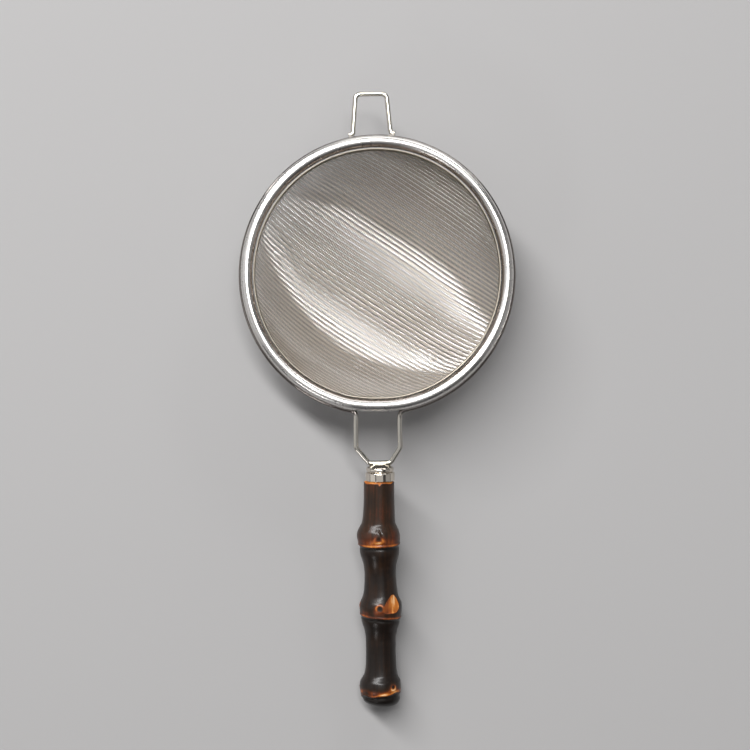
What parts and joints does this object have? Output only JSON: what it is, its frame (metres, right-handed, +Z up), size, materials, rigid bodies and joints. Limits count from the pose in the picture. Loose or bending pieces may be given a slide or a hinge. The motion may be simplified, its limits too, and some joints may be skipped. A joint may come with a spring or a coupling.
{
  "type": "tea strainer",
  "caption": "Handheld tea strainer: shallow woven steel bowl in a rolled round rim, wire fork and hook, ferrule and knotty bamboo-root handle.",
  "frame": {"origin": "the lowest point of the bowl, on the axis of the round rim, where the strainer rests on a flat surface", "axes": "+Z is up along the rim's axis, and the handle runs towards -Y while the hook points to +Y"},
  "size_m": [0.0764, 0.1694, 0.0217],
  "materials": {
    "rim_steel": "polished stainless",
    "mesh_steel": "fine woven stainless wire",
    "wire_steel": "polished drawn wire",
    "solder": "dull solder",
    "ferrule_nickel": "mirror-polished nickel",
    "tang_steel": "plain",
    "glue": "hardened adhesive",
    "bamboo": "smoked and lacquered bamboo root"
  },
  "bodies": {
    "root": {"rim_band": "rim_steel", "clamp_ring": "rim_steel", "mesh_bowl": "mesh_steel", "frame_wire": "wire_steel", "hook_wire": "wire_steel", "rim_solder": "solder", "hook_welds": "solder", "ferrule_cap": "ferrule_nickel", "ferrule_tube": "ferrule_nickel", "tang_rod": "tang_steel", "tang_glue": "glue", "handle": "bamboo"}
  },
  "joints": []
}
